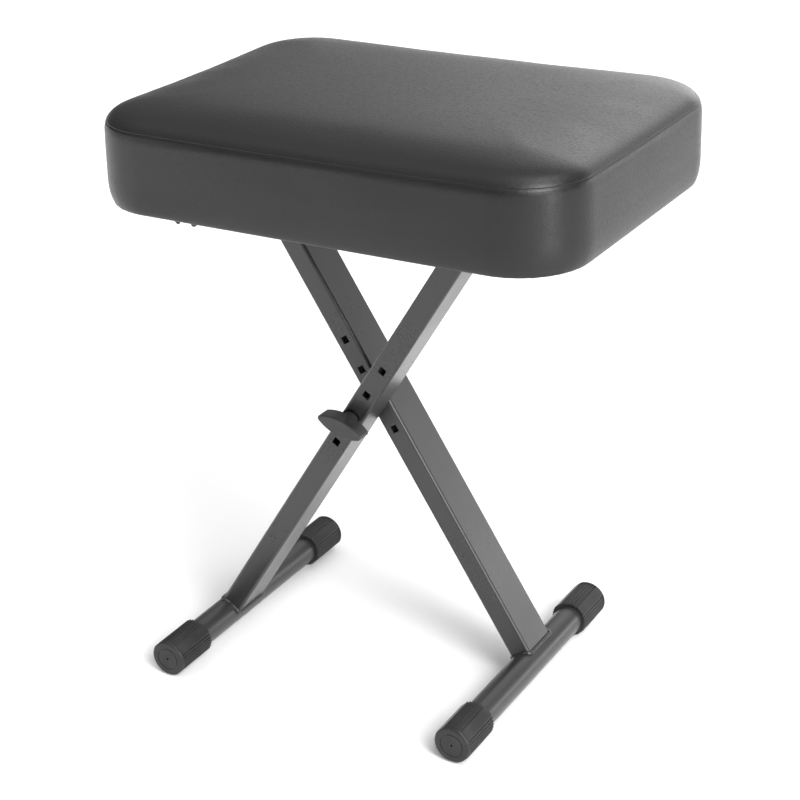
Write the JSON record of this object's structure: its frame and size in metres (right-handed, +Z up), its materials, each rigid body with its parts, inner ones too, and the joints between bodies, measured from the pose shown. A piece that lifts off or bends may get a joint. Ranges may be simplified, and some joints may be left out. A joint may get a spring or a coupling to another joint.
{
  "type": "folding keyboard bench",
  "caption": "Padded black bench on a folding X frame of rectangular tube, with a seat that tips over its hinge, a wing knob at the cross and ribbed rubber end caps.",
  "frame": {"origin": "on the floor, midway between the four feet", "axes": "+X to the right seen from the front, from the foot bar of the front leg to the foot bar of the rear leg; +Y to the rear, away from the knob; +Z up"},
  "size_m": [0.417, 0.312, 0.5163],
  "materials": {
    "vinyl": "fine-grained black vinyl with a satin sheen",
    "plywood": "raw plywood",
    "base_cloth": "matt non-woven cloth",
    "frame_steel": "satin dark grey powder coat",
    "bracket_steel": "satin black paint",
    "zinc_steel": "bright zinc plate",
    "cap_rubber": "matt dark grey rubber",
    "knob_plastic": "matt dark grey plastic",
    "spacer_nylon": "black nylon"
  },
  "bodies": {
    "front_leg": {"front_leg_cap_front": "cap_rubber", "front_leg_cap_rear": "cap_rubber", "front_leg_foot_tube": "frame_steel", "front_leg_foot_weld": "frame_steel", "front_leg_rod": "frame_steel", "front_leg_rod_weld_front": "frame_steel", "front_leg_rod_weld_rear": "frame_steel", "front_leg_tube": "frame_steel", "knob_washer": "zinc_steel"},
    "rear_leg": {"leg_spacer": "spacer_nylon", "rear_leg_cap_front": "cap_rubber", "rear_leg_cap_rear": "cap_rubber", "rear_leg_foot_tube": "frame_steel", "rear_leg_foot_weld": "frame_steel", "rear_leg_rod": "frame_steel", "rear_leg_rod_weld_front": "frame_steel", "rear_leg_rod_weld_rear": "frame_steel", "rear_leg_tube": "frame_steel"},
    "seat": {"hinge_bracket_front": "bracket_steel", "hinge_bracket_front_screw_left": "zinc_steel", "hinge_bracket_front_screw_right": "zinc_steel", "hinge_bracket_rear": "bracket_steel", "hinge_bracket_rear_screw_left": "zinc_steel", "hinge_bracket_rear_screw_right": "zinc_steel", "hook_bracket_front": "bracket_steel", "hook_bracket_front_screw_left": "zinc_steel", "hook_bracket_front_screw_right": "zinc_steel", "hook_bracket_rear": "bracket_steel", "hook_bracket_rear_screw_left": "zinc_steel", "hook_bracket_rear_screw_right": "zinc_steel", "seat_base_cloth": "base_cloth", "seat_board": "plywood", "seat_cushion": "vinyl"},
    "knob": {"knob": "knob_plastic", "knob_nut": "zinc_steel"},
    "pivot_bolt": {"pivot_bolt": "zinc_steel"}
  },
  "joints": [
    {"name": "seat_swing", "type": "hinge", "parent": "front_leg", "child": "seat", "pos_m": [0.11445, 0, 0.4215], "axis": [0, 1, 0], "range_deg": [0, 122]},
    {"name": "leg_scissor", "type": "hinge", "parent": "front_leg", "child": "rear_leg", "pos_m": [0, 0, 0.24], "axis": [0, 1, 0], "range_deg": [0, 57]},
    {"name": "knob_turn", "type": "hinge", "parent": "rear_leg", "child": "knob", "pos_m": [0, -0.058, 0.24], "axis": [0, -1, 0], "continuous": true},
    {"name": "bolt_pull", "type": "slide", "parent": "rear_leg", "child": "pivot_bolt", "axis": [0, 1, 0], "range_m": [0, 0.1]}
  ],
  "couplings": [
    {"joint": "leg_scissor", "follows": "seat_swing", "ratio": 0.46721}
  ]
}
